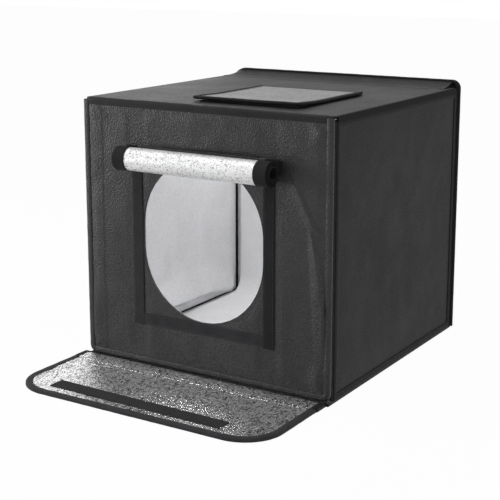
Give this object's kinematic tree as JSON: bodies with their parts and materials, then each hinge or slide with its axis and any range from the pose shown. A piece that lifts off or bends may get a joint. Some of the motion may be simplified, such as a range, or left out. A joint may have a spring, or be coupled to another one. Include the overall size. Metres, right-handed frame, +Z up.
{
  "type": "light tent cube",
  "caption": "Foldable light tent cube with an oval front window, its cover rolled up above it, a top hatch, a white backdrop and a silver-lined closing flap on the ground.",
  "frame": {"origin": "centre of the floor panel's underside, on the ground", "axes": "+X to the right seen from the front, +Y from the front door to the back panel, +Z up"},
  "size_m": [0.41, 0.5683, 0.391],
  "materials": {
    "cover_leathercloth": "satin",
    "hatch_leathercloth": "satin",
    "edge_binding": "matte",
    "hook_tape": "matte",
    "silver_cloth": "satin",
    "panel_board": "matte",
    "backdrop_white": "satin",
    "bar_aluminium": "satin",
    "bar_board": "satin",
    "cap_plastic": "matte"
  },
  "bodies": {
    "floor": {"floor_cover": "cover_leathercloth", "floor_board": "panel_board", "floor_lining": "silver_cloth"},
    "flap_spine": {"flap_spine_cover": "cover_leathercloth", "flap_spine_pad": "silver_cloth", "flap_crease_seam": "silver_cloth"},
    "closing_flap": {"flap_cover": "cover_leathercloth", "flap_board": "panel_board", "flap_lining": "silver_cloth", "flap_binding": "edge_binding", "flap_hook_strip": "hook_tape"},
    "back": {"back_cover": "cover_leathercloth", "back_board": "panel_board", "back_lining": "silver_cloth", "back_binding": "edge_binding", "back_seam_cord": "edge_binding", "back_bottom_seam_cord": "edge_binding", "backdrop_sheet": "backdrop_white", "backdrop_hook_tape": "hook_tape"},
    "left_side": {"left_side_cover": "cover_leathercloth", "left_side_board": "panel_board", "left_side_lining": "silver_cloth", "left_side_binding": "edge_binding", "left_side_hook_strip": "hook_tape"},
    "right_side": {"right_side_cover": "cover_leathercloth", "right_side_board": "panel_board", "right_side_lining": "silver_cloth", "right_side_binding": "edge_binding", "right_side_hook_strip": "hook_tape"},
    "top": {"top_cover": "cover_leathercloth", "top_board": "panel_board", "top_lining": "silver_cloth", "top_rear_gusset": "cover_leathercloth", "top_front_seam_cord": "cover_leathercloth", "hatch_loop_tape": "hook_tape", "hatch_hinge_strip": "cover_leathercloth", "front_light_bar_channel": "bar_aluminium", "front_light_bar_board": "bar_board", "front_light_bar_left_cap": "cap_plastic", "front_light_bar_socket_cap": "cap_plastic", "rear_light_bar_channel": "bar_aluminium", "rear_light_bar_board": "bar_board", "rear_light_bar_left_cap": "cap_plastic", "rear_light_bar_socket_cap": "cap_plastic"},
    "hatch": {"hatch_cover": "hatch_leathercloth", "hatch_lining": "silver_cloth", "hatch_binding": "edge_binding", "hatch_hook_tape": "hook_tape"},
    "door": {"door_cover": "cover_leathercloth", "door_board": "panel_board", "door_lining": "silver_cloth", "door_binding": "cover_leathercloth", "window_loop_tape": "hook_tape", "window_seam_strip": "cover_leathercloth", "door_left_loop_strip": "hook_tape", "door_right_loop_strip": "hook_tape"},
    "window_roll": {"window_cover_lining": "silver_cloth", "window_cover_shell": "cover_leathercloth", "window_cover_left_band": "edge_binding", "window_cover_right_band": "edge_binding"}
  },
  "joints": [
    {"name": "back_hinge", "type": "hinge", "parent": "floor", "child": "back", "pos_m": [0, 0.2, 0.001], "axis": [-1, 0, 0], "range_deg": [0, 90]},
    {"name": "left_side_hinge", "type": "hinge", "parent": "back", "child": "left_side", "pos_m": [-0.2, 0.1934, 0.19], "axis": [0, 0, -1], "range_deg": [0, 90]},
    {"name": "right_side_hinge", "type": "hinge", "parent": "back", "child": "right_side", "pos_m": [0.2, 0.1934, 0.19], "axis": [0, 0, 1], "range_deg": [0, 90]},
    {"name": "top_hinge", "type": "hinge", "parent": "back", "child": "top", "pos_m": [0, 0.1934, 0.3895], "axis": [-1, 0, 0], "range_deg": [0, 90]},
    {"name": "door_hinge", "type": "hinge", "parent": "top", "child": "door", "pos_m": [0, -0.2, 0.38], "axis": [-1, 0, 0], "range_deg": [0, 210]},
    {"name": "window_roll_hinge", "type": "hinge", "parent": "door", "child": "window_roll", "pos_m": [0, -0.201, 0.32], "axis": [-1, 0, 0], "range_deg": [0, 90]},
    {"name": "hatch_hinge", "type": "hinge", "parent": "top", "child": "hatch", "pos_m": [0.042, 0.0183, 0.3854], "axis": [-1, 0, 0], "range_deg": [0, 160]},
    {"name": "flap_spine_hinge", "type": "hinge", "parent": "floor", "child": "flap_spine", "pos_m": [0, -0.2033, 0.005], "axis": [-1, 0, 0], "range_deg": [0, 90]},
    {"name": "closing_flap_hinge", "type": "hinge", "parent": "flap_spine", "child": "closing_flap", "pos_m": [0, -0.2283, 0.005], "axis": [-1, 0, 0], "range_deg": [0, 90]}
  ]
}
